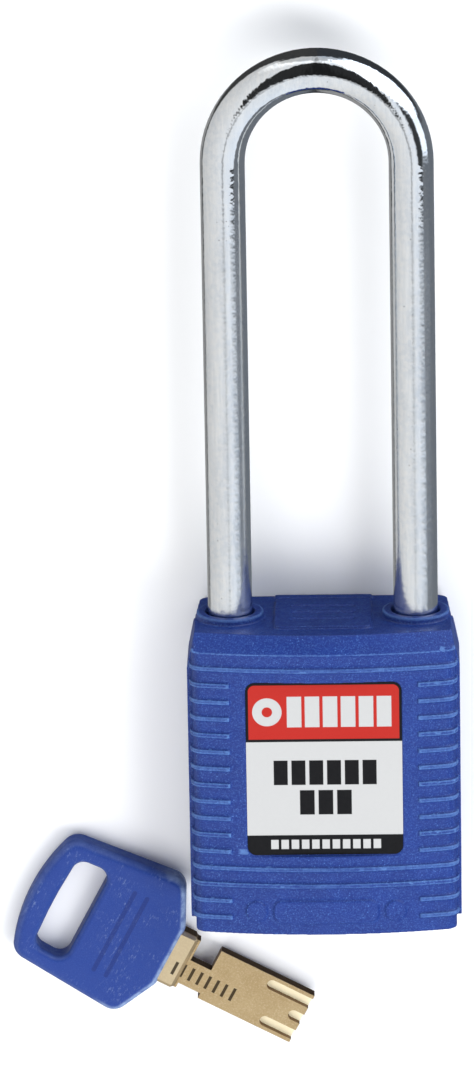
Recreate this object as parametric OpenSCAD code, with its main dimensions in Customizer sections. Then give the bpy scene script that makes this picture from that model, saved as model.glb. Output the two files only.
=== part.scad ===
// Safety lockout padlock: a moulded plastic body, a long steel shackle that is held
// by two balls, a key cylinder with axial sliders, and its key lying beside it.
// The lock lies on its back. +Z leaves the front face, +Y points to the shackle's bow
// and +X is the reader's right. The origin is on the back face, on the centre line,
// half way up the body. It is drawn locked.

/* [Body] */
// Width of the body at the front, without ribs
body_w = 37.6; // [37.6:0.2:38.6]
// Width of the body at the back, without ribs
back_w = 35.8; // [35.6:0.2:36.6]
// Height of the body, from the bottom cover to the top face
body_h = 45; // [45:0.25:46]
// Depth of the body, from the back face to the crest of the front face
body_d = 20; // [20:0.25:21]
// Radius of the crowned front face
crown_r = 85; // [80:5:100]
// Radius of the four long edges
edge_r = 1.8; // [1.5:0.1:2]
// Height of the sloped shoulder below the top face
shoulder_h = 2.1; // [1.5:0.1:2.2]
// How far the shoulder leans in
shoulder_in = 0.9; // [0.5:0.1:1.2]

/* [Ribs and grips] */
// Number of ribs up the body
rib_count = 17; // [15:1:17]
// Distance from one rib to the next
rib_pitch = 2.5; // [2.4:0.05:2.5]
// Width of a rib
rib_w = 0.65; // [0.5:0.05:0.8]
// How far a rib stands out
rib_h = 0.4; // [0.3:0.05:0.5]
// Half width of the gap that a short rib leaves for the label
rib_gap = 13.5; // [13:0.25:14]
// How far a grip pad stands out of the side
grip_h = 0.7; // [0.6:0.05:0.8]
// Height of a grip pad
grip_len = 42.5; // [40:0.5:42.5]
// Width of a grip pad, across the depth of the body
grip_w = 10.5; // [9:0.5:11]

/* [Label and marks] */
// Width of the front label
label_w = 22.3; // [20:0.1:22.3]
// Height of the front label
label_h = 26; // [24:0.5:26]
// Centre of the label above the middle of the body
label_y = 2.5; // [2:0.1:3]
// Thickness of the label
label_t = 0.15; // [0.1:0.05:0.2]
// Radius of the label's corners
label_r = 1.3; // [1:0.1:2]

/* [Shackle] */
// Diameter of the shackle's rod
rod_d = 6.35; // [6.25:0.05:6.45]
// Distance from the centre line to each leg
leg_x = 13.3; // [13.2:0.05:13.4]
// Clear height between the collars and the bow
clear_h = 76.2; // [38:1:77]
// How far the shackle rises when it is open
lift = 14.5; // [14.3:0.1:14.6]
// Height of a collar round a shackle hole
collar_h = 1; // [0.8:0.1:1.2]
// Radius of a collar
collar_r = 4.8; // [4.6:0.1:5]

/* [Key cylinder] */
// Radius of the brass housing
housing_r = 8.15; // [8:0.05:8.15]
// Radius of the turning plug
plug_r = 5.8; // [5.7:0.05:5.9]
// Width of the keyway
keyway_w = 8.5; // [8.4:0.1:8.6]
// Thickness of the keyway
keyway_t = 2.6; // [2.5:0.1:2.7]
// Distance between the three sliders
slider_step = 2.75; // [2.7:0.05:2.8]

/* [Locking balls] */
// Radius of a locking ball
ball_r = 2.5; // [2.4:0.05:2.5]
// How far each ball moves in as the shackle is released
ball_in = 3.2; // [3:0.1:3.2]

/* [Key] */
// Thickness of the plastic bow
bow_t = 4.6; // [4:0.1:5]
// Thickness of the brass blade
blade_t = 2.2; // [2:0.1:2.4]
// Width of the blade
blade_w = 8.2; // [8:0.1:8.3]
// Length of the blade past its shoulder
blade_len = 19.5; // [19:0.5:20]
// Angle of the blade below the reader's right
key_angle = -28; // [-30:1:-26]

/* [Hidden] */
$fn = 64;

gap = 0.05;                        // running clearance of turning and sliding parts
top_y = body_h / 2;
bottom_y = -body_h / 2;
axis_z = 10;                       // height of the shackle and of the cylinder's axis
back_z = rib_h;                    // the ribs and the back field stand on z = 0
far = 30;                          // longer than any cut needs to be

// body section: the centres of its right-hand corners and of the crowned front
front_half = body_w / 2;
back_half = back_w / 2;
crown_centre = [0, body_d - crown_r];
front_corner = crown_centre + [
    front_half - edge_r,
    sqrt(pow(crown_r - edge_r, 2) - pow(front_half - edge_r, 2))
];
back_corner = [back_half - edge_r, back_z + edge_r];
side_run = front_corner - back_corner;
side_normal = unit([side_run.y, -side_run.x]);

// label: its recess is as deep as the crown has fallen at the label's edge
label_drop = crown_r - sqrt(pow(crown_r, 2) - pow(label_w / 2, 2));
label_z = body_d - label_drop - label_t - 0.02;
field_edge = 0.3;                  // the back field is this much larger than the label

// plain marks: a bar between two dots below the label, a pad and a bar on the top face
mark_y = -19;
mark_h = 0.3;
mark_bar = [15, 3.4, 1.2];
mark_dot_x = 10;
mark_dot_r = 1.5;
pad_size = [13.8, 13.4, 1];
pad_z = 9.6;
pad_h = 0.5;
groove = [9.2, 1, 0.25];
groove_step = 3;
rear_bar = [14, 0.4, 1.4];
rear_bar_z = 0.9;

// grip pads
grip_z = axis_z + 0.8;
grip_corner_r = 1.2;
grip_root = 1.5;

// shackle
rod_r = rod_d / 2;
bow_y = top_y + collar_h + clear_h + rod_r - leg_x;
leg_bore_r = rod_r + 0.075;
mouth_r = rod_r + 0.375;
toe_end_y = 9.8;
heel_end_y = -15.5;
neck_r = 2.2;
neck_low_y = heel_end_y + 2.6;
neck_high_y = 4.5;
pin_r = 1;
pin_y = 3;
pin_x = -leg_x + neck_r + pin_r + 0.15;
pin_top_z = 14;

// locking balls and their cam
ball_y = 16;
ball_x = leg_x - rod_r - ball_r + 1.3;     // 1.3 mm of each ball is in the shackle's notch
notch_run = 6.3;                           // rise after which a ball is out of its notch
notch_r = ball_r + 0.1;
cam_r = ball_x - ball_r - 0.125;
cam_drop = ball_in + 0.25;
cam_t = 4.5;
cam_low_y = ball_y - cam_t / 2;
chamber_r = 6.75;
chamber_top_y = 19.6;

// cylinder, from the bottom face upwards
cover_t = 1.8;
cover_edge = 1.3;
cover_d = 15;
cover_corner_r = 2;
face_hole_r = 6.2;
guard_t = 3;
centre_hole_r = 3.15;
guard_low_y = bottom_y + cover_t + gap;
housing_low_y = guard_low_y + guard_t + gap;
housing_top_y = 4;
tail_r = 3;
tongue_r = 2.2;
tongue_half = 1.6;
clip_low_y = housing_top_y + 0.9;
clip_t = 0.8;
blade_tip_y = bottom_y + blade_len;

// sliders: travel of each one as the key goes in, and length of the blade's pockets
pocket_len = [5.5, 2.2, 7.1];
slider_rest_y = -13.2;
slider_w = 1.25;
slider_t = 2.1;
slider_block = 2.5;
nose_t = 1;
spring_bore_y = -3;
spring_end_y = 3.3;

// screws in the bottom cover, on one diagonal
screw_at = [[-leg_x, 4.6], [leg_x, 2 * axis_z - 4.6]];
screw_r = 1.1;
screw_head_r = 2;
screw_len = 8.5;

// key, in its own frame: x runs along the blade, with 0 at the shoulder
key_at = [-21.2, -32.6, 0];
bow_end_x = -22.3;
bow_end_half = 7.6;
bow_end_curve = 24;
bow_end_r = 2.6;
bow_end = [for (k = [0 : 3]) bow_end_half * k / 3];
bow_back = [for (y = bow_end) [bow_end_x + y * y / (2 * bow_end_curve), y, bow_end_r]];
bow_corners = concat([[-6.9, 9, 2.5], [-3.9, 4.4, 1.8]], bow_back);
hole_corners = [[-17.5, 5.8, 1.8], [-19.2, 5.7, 1.8], [-19.6, 1.5, 1.6]];
blade_z = (bow_t - blade_t) / 2;
pocket_w = 1.55;
pocket_d = 1.2;
shoulder_t = 3.4;
shoulder_half = 4.4;
shoulder_in_bow = 6;
shoulder_out = 0.5;
neck_x = 0.8;
notch_w = 3.4;
notch_floor = 0.7;
step_w = 3.6;
step_d = 0.85;

function pocket_end(i) = blade_len - pocket_len[i] + pocket_w / 2;
function nose_len(i) = pocket_len[i] + 0.4;
function unit(v) = v / norm(v);
function slider_x(i) = (i - 1) * slider_step;
function cam_reach(turn) = cam_r - cam_drop * turn / 90;

// ---- shared shapes ----

// an x-z section drawn in x-y, made solid from y0 to y1
module along_y(y0, y1) {
    translate([0, y1, 0])
        rotate([90, 0, 0])
            linear_extrude(y1 - y0)
                children();
}

// a round bar or bore along y
module bar(r, y0, y1, x = 0, z = axis_z, r_end = 0) {
    translate([x, y0, z])
        rotate([-90, 0, 0])
            cylinder(r1 = r, r2 = r_end > 0 ? r_end : r, h = y1 - y0);
}

// a rectangle with true round corners
module round_rect(w, h, r) {
    square([w - 2 * r, h], center = true);
    square([w, h - 2 * r], center = true);
    for (x = [-1, 1], y = [-1, 1])
        translate([x * (w / 2 - r), y * (h / 2 - r)])
            circle(r);
}

// the body's section: wider at its crowned front than at its flat back, grown outwards
module body_section(grow = 0) {
    r = edge_r + grow;
    out = r * side_normal;
    crest = crown_centre + (crown_r + grow) * unit(front_corner - crown_centre);
    half = [[back_corner.x, back_corner.y - r], back_corner + out, front_corner + out, crest];
    polygon(concat(half, [for (i = [3 : -1 : 0]) [-half[i].x, half[i].y]]));
    for (side = [-1, 1], c = [back_corner, front_corner])
        translate([side * c.x, c.y])
            circle(r);
    intersection() {
        translate(crown_centre)
            circle(crown_r + grow, $fn = 128);
        translate([-crest.x, front_corner.y])
            square([2 * crest.x, 10]);
    }
}

module ring(r_out, r_in, y0, y1, z = axis_z) {
    difference() {
        bar(r_out, y0, y1, 0, z);
        bar(r_in, y0 - 1, y1 + 1, 0, z);
    }
}

// a coil spring along y, as one tube swept round a helix
module coil(r, wire_r, y0, y1, turns, steps = 12, sides = 6) {
    n = turns * steps;
    rise = y1 - y0 - 2 * wire_r;
    rings = [for (i = [0 : n], k = [0 : sides - 1])
        let (a = 360 * i / steps, b = 360 * k / sides, q = r + wire_r * cos(b))
            [q * cos(a), y0 + wire_r + rise * i / n + wire_r * sin(b), q * sin(a)]];
    walls = [for (i = [0 : n - 1], k = [0 : sides - 1])
        let (k2 = (k + 1) % sides)
            each [[i * sides + k, i * sides + k2, (i + 1) * sides + k2],
                  [i * sides + k, (i + 1) * sides + k2, (i + 1) * sides + k]]];
    first = [for (k = [1 : sides - 2]) [0, k + 1, k]];
    last = [for (k = [1 : sides - 2]) [n * sides, n * sides + k, n * sides + k + 1]];
    polyhedron(rings, concat(walls, first, last));
}

// ---- body ----

module rib(i) {
    y = (i - (rib_count - 1) / 2) * rib_pitch;
    from_top = rib_count - 1 - i;
    full = from_top < 2 || i == 2 || i == 3;
    difference() {
        along_y(y - rib_w / 2, y + rib_w / 2)
            body_section(rib_h);
        if (!full)
            translate([-rib_gap, y - rib_w, -1])
                cube([2 * rib_gap, 2 * rib_w, far]);
    }
}

module grip(side) {
    translate([side * (front_half - grip_root), 0, grip_z])
        rotate([0, side * 90, 0])
            linear_extrude(grip_root + grip_h)
                round_rect(grip_w, grip_len, grip_corner_r);
}

// the sloped shoulder: the crowned front and the sides lean in towards the top face
module shoulder_cuts() {
    lean = atan(shoulder_in / shoulder_h);
    difference() {
        translate([-far, top_y - 5, axis_z])
            cube([2 * far, 10, far]);
        translate([0, top_y, body_d - shoulder_in])
            rotate([90 - lean, 0, 0])
                translate([0, -crown_r, 0])
                    cylinder(r = crown_r, h = far, center = true, $fn = 128);
    }
    for (side = [-1, 1])
        translate([side * (front_half - shoulder_in / 2), top_y, 0])
            rotate([0, 0, side * lean / 2])
                translate([side > 0 ? 0 : -far, -10, -1])
                    cube([far, 20, far]);
}

module top_pad() {
    difference() {
        along_y(top_y - 1, top_y + pad_h)
            translate([0, pad_z])
                round_rect(pad_size[0], pad_size[1], pad_size[2]);
        for (i = [-1 : 1])
            translate([0, top_y + pad_h, pad_z + groove_step * i])
                cube([groove[0], 2 * groove[2], groove[1]], center = true);
    }
    translate([-rear_bar[0] / 2, top_y - 1, rear_bar_z])
        cube([rear_bar[0], 1 + rear_bar[1], rear_bar[2]]);
}

// a plain raised bar between two dots, below the label
module front_mark() {
    intersection() {
        along_y(mark_y - mark_bar[1], mark_y + mark_bar[1])
            body_section(mark_h);
        translate([0, mark_y, axis_z])
            linear_extrude(far) {
                round_rect(mark_bar[0], mark_bar[1], mark_bar[2]);
                for (side = [-1, 1])
                    translate([side * mark_dot_x, 0])
                        circle(mark_dot_r);
            }
    }
}

module shell_outside() {
    difference() {
        union() {
            along_y(bottom_y, top_y)
                body_section();
            translate([0, label_y, 0])
                linear_extrude(1)
                    round_rect(label_w + 2 * field_edge, label_h + 2 * field_edge, label_r);
            for (i = [0 : rib_count - 1])
                rib(i);
            for (side = [-1, 1])
                grip(side);
            front_mark();
        }
        shoulder_cuts();
    }
    for (x = [-leg_x, leg_x])
        bar(collar_r, top_y - 1, top_y + collar_h, x);
    top_pad();
}

module shell_bores() {
    // shackle holes, with a wider mouth in each collar
    bar(leg_bore_r, toe_end_y - 0.8, top_y + 2, leg_x);
    bar(leg_bore_r, heel_end_y - 4.1, top_y + 2, -leg_x);
    for (x = [-leg_x, leg_x])
        bar(mouth_r, top_y - 0.6, top_y + 2, x);
    // cross bore of the balls
    translate([-leg_x, ball_y, axis_z])
        rotate([0, 90, 0])
            cylinder(r = ball_r + 0.1, h = 2 * leg_x);
    // cam chamber over the cylinder's bore
    bar(chamber_r, housing_top_y - 1, chamber_top_y);
    bar(housing_r + 0.1, bottom_y - 1, housing_top_y);
    // blind hole of the retaining pin, from the back
    translate([pin_x, pin_y, -1])
        cylinder(r = pin_r + 0.03, h = pin_top_z + 1);
    for (p = screw_at)
        bar(screw_r + gap, bottom_y - 1, bottom_y + screw_len + 0.5, p[0], p[1]);
}

module cover_section(shrink) {
    translate([0, axis_z])
        round_rect(back_w - 2 * (cover_edge + shrink), cover_d - 2 * shrink, cover_corner_r);
}

module body_shell() {
    color([0.2, 0.3, 0.63])
        difference() {
            shell_outside();
            shell_bores();
            along_y(bottom_y - 1, bottom_y + cover_t)
                cover_section(0);
            translate([0, label_y, label_z])
                linear_extrude(3)
                    round_rect(label_w + 0.2, label_h + 0.2, label_r);
        }
}

module bottom_cover() {
    color([0.18, 0.27, 0.58])
        difference() {
            along_y(bottom_y, bottom_y + cover_t)
                cover_section(0.08);
            bar(face_hole_r, bottom_y - 1, bottom_y + cover_t + 1);
            for (p = screw_at) {
                bar(screw_r + 0.1, bottom_y - 1, bottom_y + cover_t + 1, p[0], p[1]);
                bar(screw_head_r + gap, bottom_y - 1, bottom_y + 1.1, p[0], p[1]);
            }
        }
}

module cover_screws() {
    color([0.7, 0.7, 0.72])
        for (p = screw_at)
            difference() {
                union() {
                    bar(screw_head_r, bottom_y + 0.1, bottom_y + 1.05, p[0], p[1]);
                    bar(screw_r, bottom_y + 1, bottom_y + screw_len, p[0], p[1]);
                }
                bar(1, bottom_y - 1, bottom_y + 0.7, p[0], p[1], $fn = 6);
            }
}

module front_label() {
    color([0.93, 0.93, 0.92])
        translate([0, label_y, label_z])
            linear_extrude(label_t)
                round_rect(label_w, label_h, label_r);
}

// ---- cylinder ----

module cylinder_housing() {
    color([0.78, 0.66, 0.4])
        ring(housing_r, plug_r + gap, housing_low_y, housing_top_y);
}

module guard_plate() {
    color([0.66, 0.67, 0.69])
        difference() {
            bar(housing_r, guard_low_y, guard_low_y + guard_t);
            bar(centre_hole_r, guard_low_y - 1, guard_low_y + guard_t + 1);
            translate([0, guard_low_y + guard_t / 2, axis_z])
                cube([keyway_w, guard_t + 2, keyway_t], center = true);
        }
}

module thrust_washer() {
    color([0.8, 0.7, 0.45])
        ring(6.6, tail_r + 0.1, housing_top_y + gap, housing_top_y + 0.85);
}

module plug() {
    low = housing_low_y + gap;
    high = housing_top_y - gap;
    color([0.82, 0.7, 0.42])
        difference() {
            union() {
                bar(plug_r, low, high);
                bar(tail_r, high - gap, cam_low_y - gap);
                intersection() {
                    bar(tongue_r, cam_low_y - 1, cam_low_y + cam_t - 0.1);
                    translate([0, cam_low_y, axis_z])
                        cube([10, 20, 2 * tongue_half], center = true);
                }
            }
            // keyway
            translate([0, (low - 1 + blade_tip_y + 0.3) / 2, axis_z])
                cube([keyway_w, blade_tip_y + 0.3 - low + 1, keyway_t], center = true);
            // guides and spring bores of the sliders
            for (i = [0 : 2]) {
                translate([slider_x(i) - slider_w / 2 - gap, low, axis_z - slider_t / 2 - gap])
                    cube([slider_w + 2 * gap, 0.4 - low, slider_t + 2 * gap]);
                bar(1, spring_bore_y, spring_end_y, slider_x(i));
            }
            // groove of the clip and hole of the cam screw
            ring(tail_r + 1, tail_r - 0.5, clip_low_y, clip_low_y + clip_t);
            bar(1.05, cam_low_y - 4, cam_low_y + cam_t + 1);
        }
}

// two spiral lobes: where each ball stands, the cam's edge falls away as it turns
module cam_section() {
    lobe = [for (a = [0 : 5 : 90]) cam_reach(a) * [cos(a), sin(a)]];
    heel = [for (a = [105, 120]) cam_reach(90) * [cos(a), sin(a)]];
    nose = [cam_r * [cos(174), sin(174)]];
    half = concat(lobe, heel, nose);
    polygon(concat(half, -half));
}

module cam() {
    color([0.72, 0.72, 0.74])
        difference() {
            along_y(cam_low_y, cam_low_y + cam_t)
                translate([0, axis_z])
                    cam_section();
            intersection() {
                bar(tongue_r + gap, cam_low_y - 1, cam_low_y + cam_t + 1);
                translate([0, ball_y, axis_z])
                    cube([10, 20, 2 * (tongue_half + gap)], center = true);
            }
        }
}

module cam_screw() {
    high = cam_low_y + cam_t;
    color([0.6, 0.6, 0.62])
        difference() {
            union() {
                bar(2.3, high + gap, high + 0.95);
                bar(1, cam_low_y - 3, high + 0.1);
            }
            translate([0, high + 0.9, axis_z])
                cube([10, 0.8, 0.6], center = true);
        }
}

module plug_clip() {
    low = clip_low_y + gap;
    color([0.35, 0.35, 0.37])
        difference() {
            ring(4.6, tail_r - 0.45, low, low + clip_t - 2 * gap);
            translate([0, low, axis_z])
                cube([20, 4, 2 * (tail_r - 1.2)], center = false);
        }
}

// a thick block behind a thin nose: each nose is as long as the pocket that it enters
module slider(i) {
    color([0.85, 0.75, 0.5])
        translate([slider_x(i) - slider_w / 2, slider_rest_y, axis_z]) {
            cube([slider_w, nose_len(i) + 1, nose_t]);
            translate([0, nose_len(i), -slider_t / 2])
                cube([slider_w, slider_block, slider_t]);
        }
}

module slider_1() {
    slider(0);
}

module slider_2() {
    slider(1);
}

module slider_3() {
    slider(2);
}

module slider_spring(i) {
    color([0.75, 0.75, 0.77])
        translate([slider_x(i), 0, axis_z])
            coil(0.72, 0.12, slider_rest_y + nose_len(i) + slider_block, spring_end_y, 9, 10, 5);
}

module slider_spring_1() {
    slider_spring(0);
}

module slider_spring_2() {
    slider_spring(1);
}

module slider_spring_3() {
    slider_spring(2);
}

// ---- shackle and what holds it ----

// a round-ended channel, slanted so that a ball leaves it as the shackle rises
module notch(side) {
    slope = ball_in / lift;
    translate([side * ball_x, ball_y, axis_z]) {
        sphere(notch_r);
        rotate([0, 0, -side * atan(slope)])
            rotate([90, 0, 0])
                cylinder(r = notch_r, h = notch_run);
        translate([-side * slope * notch_run, -notch_run, 0])
            sphere(notch_r);
    }
}

module shackle() {
    color([0.75, 0.76, 0.78])
        difference() {
            union() {
                translate([0, bow_y, axis_z])
                    rotate_extrude(angle = 180, $fn = 96)
                        translate([leg_x, 0])
                            circle(rod_r, $fn = 48);
                // toe leg, with a chamfered end
                bar(rod_r, toe_end_y + 0.4, bow_y, leg_x);
                bar(rod_r - 0.4, toe_end_y, toe_end_y + 0.4, leg_x, axis_z, rod_r);
                // heel leg, with a waist that the retaining pin runs in
                bar(rod_r, neck_high_y, bow_y, -leg_x);
                bar(neck_r, neck_low_y - 0.1, neck_high_y + 0.1, -leg_x);
                bar(rod_r, heel_end_y + 0.4, neck_low_y, -leg_x);
                bar(rod_r - 0.4, heel_end_y, heel_end_y + 0.4, -leg_x, axis_z, rod_r);
            }
            notch(-1);
            notch(1);
        }
}

module retaining_pin() {
    color([0.7, 0.7, 0.72])
        translate([pin_x, pin_y, 0.8])
            cylinder(r = pin_r, h = pin_top_z - 1);
}

module spring_seat() {
    low = heel_end_y - 4.05;
    color([0.3, 0.3, 0.32]) {
        bar(leg_bore_r - gap, low, low + 0.7, -leg_x);
        bar(1.2, low + 0.6, low + 1.7, -leg_x);
    }
}

module shackle_spring() {
    color([0.75, 0.75, 0.77])
        translate([-leg_x, 0, axis_z])
            coil(2.1, 0.22, heel_end_y - 3.3, heel_end_y - 0.05, 5, 16, 6);
}

module ball(side) {
    color([0.8, 0.8, 0.82])
        translate([side * ball_x, ball_y, axis_z])
            sphere(ball_r);
}

module heel_ball() {
    ball(-1);
}

module toe_ball() {
    ball(1);
}

// ---- key ----

module lay_key(z) {
    translate([key_at[0], key_at[1], z])
        rotate([0, 0, key_angle])
            children();
}

module bow_outline() {
    hull()
        for (side = [-1, 1], c = bow_corners)
            translate([c[0], side * c[1]])
                circle(c[2], $fn = 32);
}

module ring_hole() {
    hull()
        for (side = [-1, 1], c = hole_corners)
            translate([c[0], side * c[1]])
                circle(c[2], $fn = 32);
}

module shoulder_block(grow = 0) {
    length = shoulder_in_bow + shoulder_out;
    translate([-shoulder_in_bow, -shoulder_half - grow, (bow_t - shoulder_t) / 2 - grow])
        cube([length, 2 * (shoulder_half + grow), shoulder_t + 2 * grow]);
}

module key_bow() {
    color([0.2, 0.32, 0.7])
        lay_key(0)
            difference() {
                linear_extrude(bow_t)
                    bow_outline();
                translate([0, 0, -1])
                    linear_extrude(bow_t + 2)
                        ring_hole();
                shoulder_block(0.03);
            }
}

module key_blade() {
    color([0.8, 0.68, 0.38])
        lay_key(0)
            difference() {
                union() {
                    shoulder_block();
                    translate([0, -blade_w / 2, blade_z])
                        cube([blade_len, blade_w, blade_t]);
                }
                // the neck: a deep notch on one side and a step on the other
                translate([neck_x, notch_floor, -1])
                    cube([notch_w, 10, 10]);
                translate([neck_x, step_d - blade_w / 2 - 10, -1])
                    cube([step_w, 10, 10]);
                // the three pockets, milled in from the tip with a round-nosed cutter
                for (i = [0 : 2])
                    translate([pocket_end(i), -slider_x(i), blade_z + blade_t - pocket_d]) {
                        cylinder(r = pocket_w / 2, h = 10);
                        translate([0, -pocket_w / 2, 0])
                            cube([20, pocket_w, 10]);
                    }
            }
}

body_shell();
bottom_cover();
cover_screws();
front_label();
cylinder_housing();
guard_plate();
retaining_pin();
spring_seat();
shackle_spring();
thrust_washer();
plug();
cam();
cam_screw();
plug_clip();
slider_spring_1();
slider_spring_2();
slider_spring_3();
slider_1();
slider_2();
slider_3();
shackle();
heel_ball();
toe_ball();
key_bow();
key_blade();
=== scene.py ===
"""Looks of the safety lockout padlock: moulded body, printed label, shackle, key and studio."""

import math

import bmesh
import bpy
from mathutils import Matrix, Vector


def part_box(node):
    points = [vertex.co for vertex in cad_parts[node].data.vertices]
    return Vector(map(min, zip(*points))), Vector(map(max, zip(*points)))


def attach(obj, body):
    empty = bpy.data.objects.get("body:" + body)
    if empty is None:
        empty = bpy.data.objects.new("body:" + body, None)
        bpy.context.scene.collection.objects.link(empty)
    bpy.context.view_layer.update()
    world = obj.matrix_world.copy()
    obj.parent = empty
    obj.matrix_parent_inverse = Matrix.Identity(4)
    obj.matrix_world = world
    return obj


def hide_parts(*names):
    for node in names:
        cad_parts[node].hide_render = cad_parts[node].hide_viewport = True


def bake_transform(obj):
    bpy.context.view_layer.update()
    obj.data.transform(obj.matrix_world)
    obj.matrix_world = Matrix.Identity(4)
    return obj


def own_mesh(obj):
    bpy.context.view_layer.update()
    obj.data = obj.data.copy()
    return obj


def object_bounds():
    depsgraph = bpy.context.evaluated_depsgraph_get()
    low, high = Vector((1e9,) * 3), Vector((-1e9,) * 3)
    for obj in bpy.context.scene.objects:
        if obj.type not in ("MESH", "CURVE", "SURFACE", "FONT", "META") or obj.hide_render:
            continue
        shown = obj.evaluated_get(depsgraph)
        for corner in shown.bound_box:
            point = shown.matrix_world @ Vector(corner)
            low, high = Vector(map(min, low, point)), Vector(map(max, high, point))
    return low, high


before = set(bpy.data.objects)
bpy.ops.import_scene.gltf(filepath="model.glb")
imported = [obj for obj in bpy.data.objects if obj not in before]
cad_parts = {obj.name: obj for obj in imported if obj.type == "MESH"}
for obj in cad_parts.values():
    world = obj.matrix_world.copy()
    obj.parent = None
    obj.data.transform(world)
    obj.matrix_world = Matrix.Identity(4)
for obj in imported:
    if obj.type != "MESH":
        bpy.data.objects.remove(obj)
CAD_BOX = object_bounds()

# Lengths are in millimetres, and MM turns them into the metres that the frame uses.
MM = 0.001

# camera: its angles, its distance, and the height of its frame where the lock is
VIEW_TILT = math.radians(17.3)
VIEW_TURN = math.radians(1.3)
VIEW_ROLL = math.radians(1.0)
VIEW_DISTANCE = 1100 * MM
VIEW_SHIFT = 1.1 * MM
VIEW_LIFT = 2.1 * MM
FRAME_HEIGHT = 155.5 * MM
SENSOR = 36.0

# body: its ribs, the plain mark low on its front, its collars, and how finely it is remeshed
RIB_PITCH = 2.5
RIB_BAND = 0.5
RIB_BAND_CORE = 0.3
LAST_RIB = 20.6
MARK_HALF_W = 13.0
MARK_TOP = -15.3
LEG_X = 13.3
COLLAR_R = 4.8
BODY_VOXEL = 0.15
BODY_FACES = 180000

# shackle: where the matte of its legs gives way to the gloss of its bend
BEND_LOW = 70
BEND_HIGH = 92

# label: corner radius, red head, black rule under it, black foot, edge line, disc and its dot
LABEL_R = 1.3
LABEL_HEAD = 8.6
LABEL_RULE = 8.9
LABEL_FOOT = 3.0
LABEL_LINE = 0.38
LABEL_DISC_X = -8.1
LABEL_DISC_DROP = 4.4
LABEL_DISC_R = 2.1
LABEL_DOT_R = 0.75

# key: where it lies, and the circles that its outline and its hole are drawn round
KEY_AT = Vector((-21.2, -32.6, 0)) * MM
KEY_TURN = math.radians(-28)
BOW_T = 4.6
BOW_CORNERS = ((-6.9, 9.0, 2.5), (-3.9, 4.4, 1.8))
BOW_END_X = -22.3
BOW_END_HALF = 7.6
BOW_END_CURVE = 24.0
BOW_END_R = 2.6
BOW_EDGE_R = 1.3
HOLE_CORNERS = ((-17.5, 5.8, 1.8), (-19.2, 5.7, 1.8), (-19.6, 1.5, 1.6))
HOLE_EDGE_R = 0.9
BAR_PLACES = (-9.3, -11.3)
BAR_HALF_W = 0.34
BAR_HALF_H = 7.0
BLADE_LEN = 19.5
BLADE_W = 8.2
BLADE_T = 2.2
POCKETS = ((-2.75, 5.5), (0.0, 2.2), (2.75, 7.1))
POCKET_W = 1.55
POCKET_D = 1.2
TICK_PITCH = 1.35

# studio: its strength, and the dark place by the camera that the bend mirrors, in degrees
STUDIO_LIGHT = 0.8
STUDIO_FILL = 0.06
SPOT_RISE = 21
SPOT_HALF_W = 24
SPOT_HALF_H = 32

# base colours of the plastics and of the key's metal
BLUE = (0.007, 0.031, 0.205)
PALE_BLUE = (0.075, 0.17, 0.42)
DEEP_BLUE = (0.003, 0.014, 0.115)
SEAT_BLACK = (0.02, 0.02, 0.02)
SEAT_PALE = (0.1, 0.1, 0.1)
SEAT_DEEP = (0.01, 0.01, 0.01)
BRASS = (0.70, 0.52, 0.28)


# ---- node graphs ----


class Graph:
    """A node tree, with short calls for the few kinds of node that are used here."""

    def __init__(self, tree, coordinates):
        self.nodes, self.links = tree.nodes, tree.links
        self.nodes.clear()
        self.point = self.nodes.new("ShaderNodeTexCoord").outputs[coordinates]

    def join(self, socket, value):
        """Links a socket to another, or sets it to a number or a colour."""
        if isinstance(value, bpy.types.NodeSocket):
            self.links.new(value, socket)
        elif isinstance(value, tuple) and len(socket.default_value) == 4:
            socket.default_value = (*value, 1.0)
        else:
            socket.default_value = value

    def math(self, kind, a, b=0.0, clamp=False):
        node = self.nodes.new("ShaderNodeMath")
        node.operation = kind
        node.use_clamp = clamp
        self.join(node.inputs[0], a)
        self.join(node.inputs[1], b)
        return node.outputs[0]

    def fold(self, kind, values):
        """One operation carried through all the values, from first to last."""
        result = values[0]
        for value in values[1:]:
            result = self.math(kind, result, value)
        return result

    def times(self, *values):
        return self.fold("MULTIPLY", values)

    def plus(self, *values):
        return self.fold("ADD", values)

    def most(self, *values):
        return self.fold("MAXIMUM", values)

    def minus(self, a, b, clamp=False):
        return self.math("SUBTRACT", a, b, clamp)

    def step(self, value, low, high, a=0.0, b=1.0):
        """A smooth step from a, where value is low, to b, where it is high."""
        node = self.nodes.new("ShaderNodeMapRange")
        node.interpolation_type = "SMOOTHSTEP"
        self.join(node.inputs["Value"], value)
        for socket, number in zip(("From Min", "From Max", "To Min", "To Max"), (low, high, a, b)):
            node.inputs[socket].default_value = number
        return node.outputs[0]

    def mix(self, factor, a, b):
        """A colour that goes from a to b with factor."""
        node = self.nodes.new("ShaderNodeMix")
        node.data_type = "RGBA"
        self.join(node.inputs["Factor"], factor)
        self.join(node.inputs["A"], a)
        self.join(node.inputs["B"], b)
        return node.outputs["Result"]

    def blend(self, factor, a, b):
        """A number that goes from a to b with factor."""
        return self.plus(a, self.times(factor, self.minus(b, a)))

    def axes(self, vector=None):
        """The three parts of a vector, or of the point's place."""
        node = self.nodes.new("ShaderNodeSeparateXYZ")
        self.links.new(vector or self.point, node.inputs[0])
        return node.outputs


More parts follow.
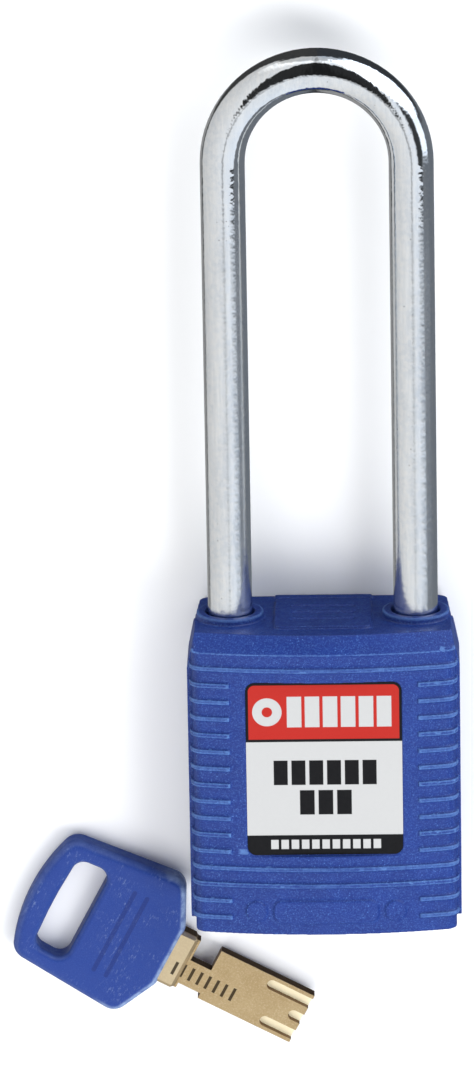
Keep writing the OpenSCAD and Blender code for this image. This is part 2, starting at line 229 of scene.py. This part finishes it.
class Surface(Graph):
    """A material, whose look is worked out from the point's place on the part."""

    def __init__(self, name, **values):
        self.material = bpy.data.materials.new(name)
        self.material.use_nodes = True
        super().__init__(self.material.node_tree, "Object")
        self.shader = self.nodes.new("ShaderNodeBsdfPrincipled")
        out = self.nodes.new("ShaderNodeOutputMaterial")
        self.links.new(self.shader.outputs[0], out.inputs[0])
        for key, value in values.items():
            self.put(key.replace("_", " "), value)

    def put(self, socket, value):
        """Sets or links one input of the shader."""
        self.join(self.shader.inputs[socket], value)

    def set_down(self, place, turn):
        """Counts the point from place, with its X axis turned about Z, as a part's drawing does."""
        node = self.nodes.new("ShaderNodeMapping")
        node.vector_type = "TEXTURE"
        self.links.new(self.point, node.inputs["Vector"])
        node.inputs["Location"].default_value = place
        node.inputs["Rotation"].default_value = (0.0, 0.0, turn)
        self.point = node.outputs[0]

    def stretched(self, x, y, z):
        """The point's place with each axis scaled, for grain that runs one way."""
        node = self.nodes.new("ShaderNodeMapping")
        self.links.new(self.point, node.inputs["Vector"])
        node.inputs["Scale"].default_value = (x, y, z)
        return node.outputs[0]

    def noise(self, size, detail=2.0, rough=0.5, at=None):
        """Noise from 0 to 1 whose blobs are about size across."""
        node = self.nodes.new("ShaderNodeTexNoise")
        self.links.new(at or self.point, node.inputs["Vector"])
        node.inputs["Scale"].default_value = 1.0 / (size * MM)
        node.inputs["Detail"].default_value = detail
        node.inputs["Roughness"].default_value = rough
        return node.outputs[0]

    def cells(self, size):
        """Distance to scattered points that are about size apart, in units of that size."""
        node = self.nodes.new("ShaderNodeTexVoronoi")
        self.links.new(self.point, node.inputs["Vector"])
        node.inputs["Scale"].default_value = 1.0 / (size * MM)
        return node.outputs["Distance"]

    def facing(self):
        """1 where the surface faces the part's own +Z, 0 on its walls."""
        normal = self.nodes.new("ShaderNodeTexCoord").outputs["Normal"]
        return self.most(self.axes(normal)["Z"], 0.0)

    def edges(self):
        """1 on outer edges and ribs, 0 on flats, from the mesh's own curvature."""
        node = self.nodes.new("ShaderNodeNewGeometry")
        return self.step(node.outputs["Pointiness"], 0.508, 0.535)

    def bump(self, height, depth, strength=1.0, normal=None):
        node = self.nodes.new("ShaderNodeBump")
        node.inputs["Distance"].default_value = depth * MM
        self.join(node.inputs["Strength"], strength)
        self.join(node.inputs["Height"], height)
        if normal:
            self.join(node.inputs["Normal"], normal)
        return node.outputs[0]

    def inside(self, value, low, high, soft=0.04):
        """1 where a coordinate lies between two places, with a thin soft border."""
        rise = self.step(value, (low - soft) * MM, (low + soft) * MM)
        fall = self.step(value, (high - soft) * MM, (high + soft) * MM, 1.0, 0.0)
        return self.times(rise, fall)

    def box(self, x, y, x0, x1, y0, y1, soft=0.04):
        """1 inside a rectangle."""
        return self.times(self.inside(x, x0, x1, soft), self.inside(y, y0, y1, soft))

    def blocks(self, x, y, x0, x1, y0, y1, count, gap):
        """A row of plain upright blocks, as a stand-in for words."""
        pitch = (x1 - x0) / (count - gap) * MM
        phase = self.math("FRACT", self.math("DIVIDE", self.minus(x, x0 * MM), pitch))
        soft = 0.03
        rise = self.step(phase, 0.0, soft)
        fall = self.step(phase, 1.0 - gap, 1.0 - soft - gap)
        return self.times(rise, fall, self.box(x, y, x0, x1, y0, y1))

    def rounded(self, x, y, half_w, half_h, r):
        """Distance in metres to a rectangle with round corners, below 0 inside it."""
        dx = self.minus(self.math("ABSOLUTE", x), (half_w - r) * MM)
        dy = self.minus(self.math("ABSOLUTE", y), (half_h - r) * MM)
        out_x, out_y = self.most(dx, 0.0), self.most(dy, 0.0)
        outer = self.math("SQRT", self.plus(self.times(out_x, out_x), self.times(out_y, out_y)))
        inner = self.math("MINIMUM", self.most(dx, dy), 0.0)
        return self.minus(self.plus(outer, inner), r * MM)

    def disc(self, x, y, r, soft=0.04):
        """1 inside a circle."""
        return self.step(self.rounded(x, y, r, r, r), soft * MM, -soft * MM)

    def ribs(self):
        """1 on bands round each rib of the body, 0 between, beyond and on the plain mark."""
        x, y, _ = self.axes()
        phase = self.math("FRACT", self.plus(self.math("DIVIDE", y, RIB_PITCH * MM), 0.5))
        away = self.math("ABSOLUTE", self.minus(phase, 0.5))
        band = self.step(away, RIB_BAND / RIB_PITCH, RIB_BAND_CORE / RIB_PITCH)
        soft = 0.2
        mark = self.box(x, y, -MARK_HALF_W, MARK_HALF_W, -LAST_RIB - 1, MARK_TOP, soft)
        return self.times(band, self.minus(self.inside(y, -LAST_RIB, LAST_RIB, soft), mark, True))

    def collar_rims(self):
        """1 on the rims of the two collars that stand round the shackle's holes."""
        x, y, z = self.axes()
        low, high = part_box("shackle")
        across = self.minus(self.math("ABSOLUTE", x), LEG_X * MM)
        up = self.minus(z, (low.z + high.z) / 2)
        rim = self.inside(self.rounded(across, up, COLLAR_R, COLLAR_R, COLLAR_R), -0.3, 0.2, 0.1)
        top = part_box("body_shell")[1].y
        return self.times(rim, self.step(y, top - 0.5 * MM, top - 0.2 * MM))


# ---- materials ----


def moulded(name, base, pale, deep, rough=0.46, edge_wear_and_highlight=0.5):
    """Moulded nylon: mottled, with fine grain, tiny pale flecks, and rib crests and collar rims
    made paler, partly by wear and partly as a painted highlight.
    """
    g = Surface(name, IOR=1.52, Specular_IOR_Level=0.4)
    cloud = g.step(g.noise(5.0, 3, 0.6), 0.3, 0.7)
    fine = g.noise(0.22, 2, 0.7)
    flecks = g.times(g.step(g.cells(0.55), 0.2, 0.08), g.step(g.noise(3.0, 3, 0.6), 0.42, 0.66))
    # Rib crests and collar rims are painted paler: partly wear, partly a painted highlight where
    # they catch the light.
    crest = g.most(g.times(g.edges(), g.ribs()), g.times(g.collar_rims(), 0.6))
    wear_and_highlight = g.times(crest, g.step(g.noise(0.45, 4, 0.75), 0.3, 0.65, 0.35, 1.0))
    colour = g.mix(g.times(cloud, 0.3), base, deep)
    colour = g.mix(g.step(fine, 0.55, 0.25, 0.0, 0.55), colour, deep)
    colour = g.mix(g.step(fine, 0.48, 0.8, 0.0, 0.6), colour, pale)
    # Pales the crests and rims: wear plus painted highlight.
    colour = g.mix(g.times(wear_and_highlight, edge_wear_and_highlight), colour, pale)
    colour = g.mix(g.times(flecks, 0.55), colour, tuple(1.6 * c for c in pale))
    g.put("Base Color", colour)
    g.put("Roughness", g.step(g.noise(1.1, 3, 0.6), 0.2, 0.8, rough - 0.08, rough + 0.1))
    dimples = g.bump(g.noise(1.6, 2, 0.5), 0.05, 0.35)
    g.put("Normal", g.bump(fine, 0.03, 0.55, dimples))
    return g.material


def steel(name, colour, rough, grain=(1, 1, 1), speckle=0.12, depth=0.01):
    """Plated or turned metal: cloudy and speckled, with grain along the long way of the part."""
    g = Surface(name, Metallic=1.0)
    along = g.stretched(*grain)
    cloud = g.step(g.noise(2.4, 3, 0.6, along), 0.3, 0.7)
    specks = g.step(g.noise(0.28, 2, 0.7, along), 0.35, 0.75)
    dark = tuple(c * (1.0 - 2.2 * speckle) for c in colour)
    light = tuple(min(1.0, c * (1.0 + 0.7 * speckle)) for c in colour)
    g.put("Base Color", g.mix(specks, g.mix(cloud, colour, dark), light))
    g.put("Roughness", g.step(cloud, 0.0, 1.0, rough * 0.85, rough * 1.2))
    g.put("Normal", g.bump(specks, depth, 0.5))
    return g.material


def shackle_steel():
    """Zinc-plated rod: mottled matte legs that turn glossier where the rod is bent."""
    g = Surface("shackle_zinc", Metallic=1.0)
    bent = g.step(g.axes()["Y"], BEND_LOW * MM, BEND_HIGH * MM)
    along = g.stretched(1.0, 0.2, 1.0)
    cloud = g.step(g.noise(2.2, 4, 0.65, along), 0.3, 0.72)
    streak = g.step(g.noise(0.4, 2, 0.6, g.stretched(1.0, 0.06, 1.0)), 0.3, 0.7)
    mottle = g.noise(0.75, 1, 0.5)
    pits = g.times(g.step(g.cells(1.3), 0.1, 0.04), g.step(g.noise(5.0, 2), 0.5, 0.62))
    tone = g.mix(cloud, (0.86, 0.885, 0.90), (0.74, 0.775, 0.81))
    tone = g.mix(g.step(mottle, 0.35, 0.65, 0.0, 0.5), tone, (0.90, 0.90, 0.885))
    tone = g.mix(g.times(streak, 0.22), tone, (0.62, 0.66, 0.71))
    tone = g.mix(g.times(pits, 0.6), tone, (0.2, 0.2, 0.21))
    g.put("Base Color", tone)
    matte = g.step(cloud, 0.0, 1.0, 0.19, 0.24)
    gloss = g.step(cloud, 0.0, 1.0, 0.05, 0.09)
    g.put("Roughness", g.blend(bent, matte, gloss))
    ripple = g.bump(g.noise(1.4, 2, 0.5, along), 0.03, 0.4)
    g.put("Normal", g.bump(mottle, 0.09, g.step(bent, 0.0, 1.0, 0.22, 0.25), ripple))
    return g.material


def label_print():
    """Printed film: red field over a white one, black frame and plain bars in place of words."""
    g = Surface("label_film", IOR=1.5, Specular_IOR_Level=0.2)
    low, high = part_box("front_label")
    centre = (low + high) / 2
    x, y, _ = g.axes()
    x, y = g.minus(x, centre.x), g.minus(y, centre.y)
    w, h = (high.x - low.x) / 2 / MM, (high.y - low.y) / 2 / MM
    edge = g.rounded(x, y, w, h, LABEL_R)
    line = g.step(edge, -(LABEL_LINE + 0.04) * MM, -(LABEL_LINE - 0.04) * MM)
    line = g.minus(line, g.inside(y, -h + LABEL_FOOT, h - LABEL_RULE), True)
    head = g.inside(y, h - LABEL_HEAD, h)
    rule = g.inside(y, h - LABEL_RULE, h - LABEL_HEAD + 0.1)
    foot = g.inside(y, -h, -h + LABEL_FOOT)
    disc_at = (g.minus(x, LABEL_DISC_X * MM), g.minus(y, (h - LABEL_DISC_DROP) * MM))
    disc = g.disc(*disc_at, LABEL_DISC_R)
    dot = g.disc(*disc_at, LABEL_DOT_R)
    head_row = g.blocks(x, y, -5.3, 9.7, h - 6.7, h - 2.1, 6, 0.16)
    upper_row = g.blocks(x, y, -7.3, 7.5, -2.4, 1.3, 6, 0.18)
    lower_row = g.blocks(x, y, -3.6, 3.9, -6.9, -3.2, 3, 0.18)
    foot_row = g.blocks(x, y, -7.8, 8.0, -h + 0.9, -h + 2.3, 11, 0.24)
    ink = g.times(g.step(g.noise(0.5, 3, 0.7), 0.3, 0.7), 0.12)
    red = g.mix(ink, (0.40, 0.017, 0.011), (0.33, 0.013, 0.009))
    white = g.mix(g.times(ink, 0.8), (0.475, 0.475, 0.47), (0.40, 0.40, 0.40))
    black = g.mix(ink, (0.004, 0.004, 0.005), (0.02, 0.02, 0.02))
    colour = g.mix(head, white, red)
    colour = g.mix(g.minus(g.most(disc, head_row), dot, True), colour, white)
    colour = g.mix(g.most(upper_row, lower_row, foot, rule, line), colour, black)
    g.put("Base Color", g.mix(foot_row, colour, white))
    g.put("Roughness", g.step(g.noise(3.0, 2), 0.3, 0.7, 0.30, 0.42))
    waves = g.bump(g.noise(4.0, 2, 0.4), 0.05, 0.3)
    g.put("Normal", g.bump(g.noise(0.16, 2, 0.6), 0.006, 0.5, waves))
    return g.material


def bow_nylon():
    """The key's blue plastic, with pale scuffs, its top rim by the blade whitened partly by wear
    and partly by a painted highlight, and plain engraved bars.
    """
    g = Surface("bow_nylon", IOR=1.52, Specular_IOR_Level=0.4)
    g.set_down(KEY_AT, KEY_TURN)
    x, y, z = g.axes()
    scratch = g.step(g.noise(0.35, 3, 0.8, g.stretched(1.0, 0.35, 1.0)), 0.52, 0.74)
    scuffs = g.times(scratch, g.step(g.noise(4.5, 2, 0.5), 0.42, 0.66))
    # The top rim, most of all by the blade, is painted paler: partly wear, partly a painted
    # highlight where it faces the light.
    rim = g.step(z, (BOW_T - 0.04) * MM, (BOW_T - 0.25) * MM)
    by_blade = g.step(x, -10.0 * MM, -5.5 * MM, 0.12, 1.0)
    wear = g.step(g.noise(1.4, 4, 0.7), 0.3, 0.6, 0.35, 1.0)
    wear_and_highlight = g.times(rim, by_blade, wear)
    outlines = [
        g.rounded(g.minus(x, place * MM), y, BAR_HALF_W, BAR_HALF_H, BAR_HALF_W)
        for place in BAR_PLACES
    ]
    bars = g.most(*(g.step(outline, 0.05 * MM, -0.05 * MM) for outline in outlines))
    bars = g.times(bars, g.step(z, 0.4 * BOW_T * MM, 0.6 * BOW_T * MM))
    fine = g.noise(0.2, 2, 0.7)
    colour = g.mix(g.step(g.noise(5.0, 3), 0.3, 0.7, 0.0, 0.4), (0.009, 0.036, 0.215), BLUE)
    colour = g.mix(g.step(fine, 0.45, 0.85, 0.0, 0.22), colour, PALE_BLUE)
    colour = g.mix(g.times(scuffs, 0.4), colour, (0.24, 0.32, 0.50))
    # Pales the rim: wear plus painted highlight.
    colour = g.mix(g.times(wear_and_highlight, 0.85), colour, (0.24, 0.33, 0.52))
    g.put("Base Color", g.mix(g.times(bars, 0.55), colour, DEEP_BLUE))
    g.put("Roughness", g.step(g.noise(1.1, 3, 0.6), 0.2, 0.8, 0.38, 0.56))
    engraved = g.bump(bars, 0.25, -1.0)
    g.put("Normal", g.bump(g.plus(fine, scuffs), 0.03, 0.6, engraved))
    return g.material


def blade_brass():
    """Milled brass: fine grain, painted shade on its walls, a painted highlight on its pocket
    floors and a row of plain dark ticks.
    """
    g = Surface("blade_brass")
    g.set_down(KEY_AT, KEY_TURN)
    x, y, z = g.axes()
    face_z = (BOW_T + BLADE_T) / 2
    grain = g.noise(0.28, 4, 0.8)
    colour = g.mix(g.step(g.noise(3.0, 3, 0.6), 0.3, 0.7), BRASS, (0.63, 0.45, 0.23))
    colour = g.mix(g.step(grain, 0.5, 0.25, 0.0, 0.5), colour, (0.50, 0.34, 0.16))
    colour = g.mix(g.step(grain, 0.48, 0.7, 0.0, 0.7), colour, (0.86, 0.72, 0.48))
    # Walls that don't face up are painted dark brown: painted shade.
    colour = g.mix(g.step(g.facing(), 0.75, 0.3), colour, (0.20, 0.115, 0.05))
    shoulder = g.times(g.step(z, (face_z + 0.1) * MM, (face_z + 0.2) * MM), g.facing())
    colour = g.mix(g.times(shoulder, 0.5), colour, (0.98, 0.84, 0.58))
    # Pocket floors are painted pale and nearly non-metal: a painted highlight where the milled
    # floors shine.
    milled = g.times(
        g.box(x, y, BLADE_LEN - 8.5, BLADE_LEN + 1, -BLADE_W / 2, BLADE_W / 2),
        g.inside(z, face_z - POCKET_D - 0.1, face_z - 0.25, 0.1),
        g.step(g.facing(), 0.3, 0.7),
    )
    colour = g.mix(milled, colour, (0.95, 0.84, 0.58))
    g.put("Metallic", g.blend(milled, 0.9, 0.1))
    phase = g.math("FRACT", g.times(x, 1.0 / (TICK_PITCH * MM)))
    tick = g.times(g.step(phase, 0.22, 0.28), g.step(phase, 0.62, 0.56))
    row = g.box(x, y, -TICK_PITCH, 7 * TICK_PITCH, -2.3, -0.2, 0.05)
    etched = g.times(tick, row, g.step(g.facing(), 0.8, 0.95))
    g.put("Base Color", g.mix(g.times(etched, 0.9), colour, (0.035, 0.022, 0.014)))
    g.put("Roughness", g.step(grain, 0.3, 0.8, 0.42, 0.55))
    g.put("Normal", g.bump(grain, 0.02, 0.6))
    return g.material


# ---- meshes ----


def add_object(name, mesh):
    piece = bpy.data.objects.new(name, mesh)
    bpy.context.scene.collection.objects.link(piece)
    return piece


def add_mesh(name, bm):
    """A new object with the mesh that bm holds."""
    mesh = bpy.data.meshes.new(name)
    bm.to_mesh(mesh)
    bm.free()
    return add_object(name, mesh)


def modifier(piece, kind, **values):
    made = piece.modifiers.new(kind.lower(), kind)
    for key, value in values.items():
        setattr(made, key, value)


def apply_modifiers(piece):
    """Bakes a piece's modifiers into its mesh."""
    graph = bpy.context.evaluated_depsgraph_get()
    mesh = bpy.data.meshes.new_from_object(piece.evaluated_get(graph))
    piece.modifiers.clear()
    piece.data = mesh


def shade_smooth(piece):
    piece.data.polygons.foreach_set("use_smooth", [True] * len(piece.data.polygons))


def dress(piece, material):
    piece.data.materials.clear()
    piece.data.materials.append(material)


def soft_copy(node, name, voxel, rounds):
    """A copy of a CAD node remeshed and smoothed, so its edges are as soft as moulded ones."""
    piece = add_object(name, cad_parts[node].data.copy())
    modifier(piece, "WELD", merge_threshold=0.001 * MM)
    modifier(piece, "REMESH", mode="VOXEL", voxel_size=voxel * MM)
    apply_modifiers(piece)
    triangles = 2 * len(piece.data.polygons)
    modifier(piece, "SMOOTH", factor=0.5, iterations=rounds)
    if triangles > BODY_FACES:
        modifier(piece, "DECIMATE", ratio=BODY_FACES / triangles)
    apply_modifiers(piece)
    shade_smooth(piece)
    return piece


def outline(corners, shrink, count=144):
    """Points round the hull of circles at corners and their mirror images, drawn in by shrink."""
    circles = [(x, side * y, r - shrink) for x, y, r in corners for side in (-1, 1)]
    points = []
    for i in range(count):
        a = 2 * math.pi * i / count
        d = (math.cos(a), math.sin(a))
        x, y, r = max(circles, key=lambda c: c[0] * d[0] + c[1] * d[1] + c[2])
        points.append((x + r * d[0], y + r * d[1]))
    return points


def bow_corners():
    """Circles of the bow's outline: two pairs of corners by the blade and an arched far end."""
    corners = list(BOW_CORNERS)
    count = 8
    for k in range(count):
        y = BOW_END_HALF * k / (count - 1)
        corners.append((BOW_END_X + y * y / (2 * BOW_END_CURVE), y, BOW_END_R))
    return corners


def bow_piece():
    """The bow as one closed skin: up its rounded rim, over its face, down its hole and back."""
    steps = 7
    quarter = [math.pi / 2 * i / steps for i in range(steps + 1)]
    rings = []
    for corners, r, side in ((bow_corners(), BOW_EDGE_R, 1), (HOLE_CORNERS, HOLE_EDGE_R, -1)):
        low = [(corners, side * r * (1 - math.sin(a)), r * (1 - math.cos(a))) for a in quarter]
        high = [(corners, shrink, BOW_T - z) for corners, shrink, z in low]
        rings += low + high[::-1] if side > 0 else high + low[::-1]
    bm = bmesh.new()
    loops = []
    for corners, shrink, z in rings:
        points = outline(corners, shrink)
        loops.append([bm.verts.new((x * MM, y * MM, z * MM)) for x, y in points])
    for a, b in zip(loops, loops[1:] + loops[:1]):
        for i in range(len(a)):
            j = (i + 1) % len(a)
            bm.faces.new((a[i], a[j], b[j], b[i]))
    hair = 0.0005 * MM
    bmesh.ops.remove_doubles(bm, verts=bm.verts, dist=hair)
    bmesh.ops.dissolve_degenerate(bm, edges=bm.edges, dist=hair)
    bmesh.ops.recalc_face_normals(bm, faces=bm.faces)
    piece = add_mesh("key_grip", bm)
    shade_smooth(piece)
    modifier(piece, "WEIGHTED_NORMAL", keep_sharp=False)
    apply_modifiers(piece)
    return piece


def block(name, low, high, bevel=0.0, segments=2):
    """A box between two corners, with its edges cut or rounded off."""
    bm = bmesh.new()
    bmesh.ops.create_cube(bm, size=1.0)
    size = Vector(high) - Vector(low)
    for v in bm.verts:
        v.co = (Vector(low) + Vector((v.co[i] + 0.5) * size[i] for i in range(3))) * MM
    if bevel:
        bmesh.ops.bevel(
            bm, geom=bm.edges, offset=bevel * MM, segments=segments, profile=0.5, affect="EDGES"
        )
    return add_mesh(name, bm)


def cutter(x, y, z, r, length):
    """A slot with a round end at x, y that runs towards +X, floored at z."""
    bm = bmesh.new()
    sides, height = 20, 10
    arc = [math.pi / 2 + math.pi * i / sides for i in range(sides + 1)]
    points = [(x + r * math.cos(a), y + r * math.sin(a)) for a in arc]
    points += [(x + length, y - r), (x + length, y + r)]
    face = bm.faces.new([bm.verts.new((px * MM, py * MM, z * MM)) for px, py in points])
    top = bmesh.ops.extrude_face_region(bm, geom=[face])["geom"]
    for v in (v for v in top if isinstance(v, bmesh.types.BMVert)):
        v.co.z += height * MM
    bmesh.ops.recalc_face_normals(bm, faces=bm.faces)
    return add_mesh("cutter", bm)


def boolean(piece, other, operation="DIFFERENCE"):
    modifier(piece, "BOOLEAN", operation=operation, object=other, solver="EXACT")
    apply_modifiers(piece)
    bpy.data.objects.remove(other)


def blade_piece():
    """The key's metal: chamfered shoulder, notched neck and a blade with three milled pockets."""
    low_z = (BOW_T - BLADE_T) / 2
    half = BLADE_W / 2
    notch_x = 0.8
    piece = block("key_metal", (-4, -half, low_z), (BLADE_LEN, half, low_z + BLADE_T), 0.1, 2)
    boolean(piece, block("deep_notch", (notch_x, 0.7, 0), (4.2, 9, 9)))
    boolean(piece, block("shallow_notch", (notch_x, -9, 0), (4.4, 0.85 - half, 9)))
    for y, length in POCKETS:
        end = BLADE_LEN - length + POCKET_W / 2
        boolean(piece, cutter(end, y, low_z + BLADE_T - POCKET_D, POCKET_W / 2, BLADE_LEN + 0.5))
    boolean(piece, block("shoulder", (-6, -4.4, 0.6), (0.5, 4.4, 4.0), 0.55, 1), "UNION")
    shade_smooth(piece)
    modifier(piece, "BEVEL", width=0.09 * MM, segments=2, limit_method="ANGLE", angle_limit=0.6)
    modifier(piece, "WEIGHTED_NORMAL", keep_sharp=False, weight=90)
    apply_modifiers(piece)
    return piece


# ---- pieces ----


def make_body():
    voxel, rounds = ((BODY_VOXEL, 3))
    piece = soft_copy("body_shell", "body_moulding", voxel, rounds)
    dress(piece, moulded("body_nylon_soft", BLUE, PALE_BLUE, DEEP_BLUE, edge_wear_and_highlight=0.95))
    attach(piece, "lock_body")
    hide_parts("body_shell")


def lay_key(piece, material, node):
    """Dresses a piece of the key and lays it beside the lock."""
    dress(piece, material)
    piece.data.transform(Matrix.Translation(KEY_AT) @ Matrix.Rotation(KEY_TURN, 4, "Z"))
    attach(piece, "key")
    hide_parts(node)


def make_key():
    lay_key(bow_piece(), bow_nylon(), "key_bow")
    lay_key(blade_piece(), blade_brass(), "key_blade")


def spring_copy(node, name, wire):
    """A piece with a copy of a CAD spring's own mesh, in the given wire, shown in place of the
    node.
    """
    piece = add_object(name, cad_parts[node].data.copy())
    dress(piece, wire)
    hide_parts(node)
    return piece


def make_springs():
    """Copies of the three slider springs, which go with the plug, and of the shackle's spring, in
    spring wire.
    """
    wire = steel("spring_wire", (0.50, 0.50, 0.52), 0.25, speckle=0.08)
    for i in (1, 2, 3):
        node, joint = f"slider_spring_{i}", f"slider_{i}_push"
        piece = spring_copy(node, f"slider_coil_{i}", wire)
        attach(piece, "plug")
        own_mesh(piece)
    piece = spring_copy("shackle_spring", "shackle_coil", wire)
    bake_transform(piece)


def finish_nodes():
    """Materials of the CAD nodes that are shown as they are, and softer edges on some."""
    ground = steel("ground_steel", (0.56, 0.57, 0.59), 0.3, speckle=0.1)
    zinc = steel("zinc_plate", (0.64, 0.65, 0.66), 0.28)
    clip = steel("clip_steel", (0.50, 0.50, 0.52), 0.25, speckle=0.08)
    ball = steel("ball_polish", (0.70, 0.70, 0.72), 0.08, speckle=0.03, depth=0.002)
    turned = steel("turned_brass", (0.62, 0.46, 0.23), 0.25, (1, 6, 1), 0.1)
    milled = steel("milled_brass", (0.66, 0.50, 0.26), 0.3, (1, 0.3, 1))
    cover = moulded("cover_nylon_soft", BLUE, PALE_BLUE, DEEP_BLUE, 0.48, 0.3)
    seat = moulded("seat_black", SEAT_BLACK, SEAT_PALE, SEAT_DEEP)
    looks = (
        (shackle_steel(), ("shackle",)),
        (label_print(), ("front_label",)),
        (cover, ("bottom_cover",)),
        (seat, ("spring_seat",)),
        (zinc, ("cover_screws", "cam_screw")),
        (ground, ("guard_plate", "retaining_pin", "cam")),
        (clip, ("plug_clip",)),
        (ball, ("heel_ball", "toe_ball")),
        (turned, ("cylinder_housing", "thrust_washer", "plug")),
        (milled, ("slider_1", "slider_2", "slider_3")),
    )
    for material, nodes in looks:
        for node in nodes:
            dress(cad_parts[node], material)
    for node, width in (("bottom_cover", 0.15), ("cover_screws", 0.1), ("guard_plate", 0.12)):
        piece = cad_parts[node]
        modifier(piece, "WELD", merge_threshold=0.001 * MM)
        modifier(
            piece, "BEVEL", width=width * MM, segments=2, limit_method="ANGLE", angle_limit=0.7
        )


# ---- studio, in metres and degrees ----


def make_floor():
    """A pale floor, flat for metres round the lock, whose far rim curls up as a backdrop."""
    bm = bmesh.new()
    middle, flat, curl, sides, steps = 0.5, 5.0, 0.8, 96, 10
    profile = [(middle, 0.0), (flat, 0.0)]
    for a in (math.pi / 2 * i / steps for i in range(1, steps + 1)):
        profile.append((flat + curl * math.sin(a), curl * (1 - math.cos(a))))
    turns = [2 * math.pi * k / sides for k in range(sides)]
    rings = [
        [bm.verts.new((r * math.cos(a), r * math.sin(a), z)) for a in turns] for r, z in profile
    ]
    bm.faces.new(rings[0])
    for a, b in zip(rings, rings[1:]):
        for k in range(sides):
            bm.faces.new((a[k], a[(k + 1) % sides], b[(k + 1) % sides], b[k]))
    bmesh.ops.recalc_face_normals(bm, faces=bm.faces)
    floor = add_mesh("floor", bm)
    g = Surface("floor_paper", Roughness=0.9, Specular_IOR_Level=0.2)
    g.put("Base Color", g.mix(g.noise(40.0, 2), (0.93, 0.93, 0.93), (0.945, 0.945, 0.945)))
    dress(floor, g.material)
    floor.visible_glossy = False


def make_world():
    """The studio that the metal mirrors: soft boxes all round, and a dark place by the camera.

    turn is the angle about Y and rise the angle towards +Y, both 0 straight up.
    """
    world = bpy.data.worlds.new("studio")
    bpy.context.scene.world = world
    world.use_nodes = True
    g = Graph(world.node_tree, "Generated")
    x, y, z = g.axes()
    turn = g.times(g.math("ARCTAN2", x, z), 180 / math.pi)
    rise = g.times(g.math("ARCSINE", y), 180 / math.pi)

    def soft_box(turn_0, turn_1, rise_0, rise_1, light, soft, lean=0.0):
        """Light from between two turns and two rises; lean draws the second turn in."""
        return g.times(
            g.step(turn, turn_0 - soft, turn_0 + soft),
            g.step(g.plus(turn, lean), turn_1 + soft, turn_1 - soft),
            g.step(rise, rise_0 - soft, rise_0 + soft),
            g.step(rise, rise_1 + soft, rise_1 - soft),
            light,
        )

    lean = g.step(rise, -16.5, -12.5, 0, 28)
    shade = g.step(turn, -150, 70, 0.72, 1.22)
    wide = g.times(soft_box(-121, 63, -84, 64, 1.0, 5, lean), shade)
    far_left = soft_box(-175, -131, -75, 6, 0.34, 4)
    bright_right = soft_box(26, 116, 16, 70, 3.0, 5)
    small_right = soft_box(64, 98, -9, 24, 1.6, 4)
    beyond = soft_box(-100, 100, 56, 96, 0.7, 8)
    far_right = soft_box(60, 176, -75, 8, 0.20, 6)
    total = g.plus(STUDIO_FILL, wide, far_left, bright_right, small_right, beyond, far_right)

    across = g.math("DIVIDE", turn, SPOT_HALF_W)
    along = g.math("DIVIDE", g.minus(rise, SPOT_RISE), SPOT_HALF_H)
    reach = g.plus(g.times(across, across), g.times(along, along))
    dark_spot = g.step(reach, 0.85, 1.12, 0.03, 1.0)
    seam = g.times(g.step(turn, -6, 1), g.step(turn, 9, 2), g.step(rise, -20, -14.5))
    total = g.times(total, dark_spot, g.blend(seam, 1.0, 0.5))

    back = g.nodes.new("ShaderNodeBackground")
    tint = g.mix(g.step(turn, -60, 110), (1.0, 1.0, 1.0), (0.80, 0.88, 1.0))
    g.join(back.inputs["Color"], tint)
    g.join(back.inputs["Strength"], g.times(total, STUDIO_LIGHT))
    out = g.nodes.new("ShaderNodeOutputWorld")
    g.links.new(back.outputs[0], out.inputs[0])


def add_light(name, place, size, power):
    """A rectangular soft light over the lock, which neither the camera nor the metal sees."""
    data = bpy.data.lights.new(name, "AREA")
    data.shape = "RECTANGLE"
    data.size, data.size_y = size
    data.energy = power
    light = bpy.data.objects.new(name, data)
    bpy.context.scene.collection.objects.link(light)
    light.location = place
    target = Vector((0.0, 0.03, 0.01))
    light.rotation_euler = (Vector(place) - target).to_track_quat("Z", "Y").to_euler()
    light.visible_camera = False
    light.visible_glossy = False


def make_lights():
    add_light("key_light", place=(0.45, -0.25, 0.60), size=(0.35, 0.60), power=4.0)
    add_light("fill_light", place=(-0.25, -0.35, 0.90), size=(0.9, 0.9), power=5.2)


def make_camera():
    """The camera looks down on the lock from its shackle's end, turned and rolled a little."""
    low, high = CAD_BOX
    up = Vector((0, math.cos(VIEW_TILT), -math.sin(VIEW_TILT)))
    heights = (high.y * up.y + 0.5 * high.z * up.z, low.y * up.y + 0.2 * high.z * up.z)
    depth = high.z / 2
    target = Vector(((low.x + high.x) / 2 + VIEW_SHIFT, 0, depth))
    target.y = (sum(heights) / 2 + VIEW_LIFT - depth * up.z) / up.y
    back = Vector(
        (math.sin(VIEW_TURN) * math.cos(VIEW_TILT), math.sin(VIEW_TILT), math.cos(VIEW_TILT))
    ).normalized()
    data = bpy.data.cameras.new("camera")
    data.sensor_width = SENSOR
    data.lens = SENSOR * VIEW_DISTANCE / FRAME_HEIGHT
    data.clip_start, data.clip_end = 0.01, 50
    camera = bpy.data.objects.new("camera", data)
    bpy.context.scene.collection.objects.link(camera)
    right = Vector((0, 1, 0)).cross(back).normalized()
    turn = Matrix((right, back.cross(right), back)).transposed().to_4x4()
    roll = Matrix.Rotation(-VIEW_ROLL, 4, "Z")
    camera.matrix_world = Matrix.Translation(target + back * VIEW_DISTANCE) @ turn @ roll
    bpy.context.scene.camera = camera


bpy.context.scene.view_settings.view_transform = "Standard"
make_camera()
make_floor()
make_world()
make_lights()
make_body()
make_key()
make_springs()
finish_nodes()
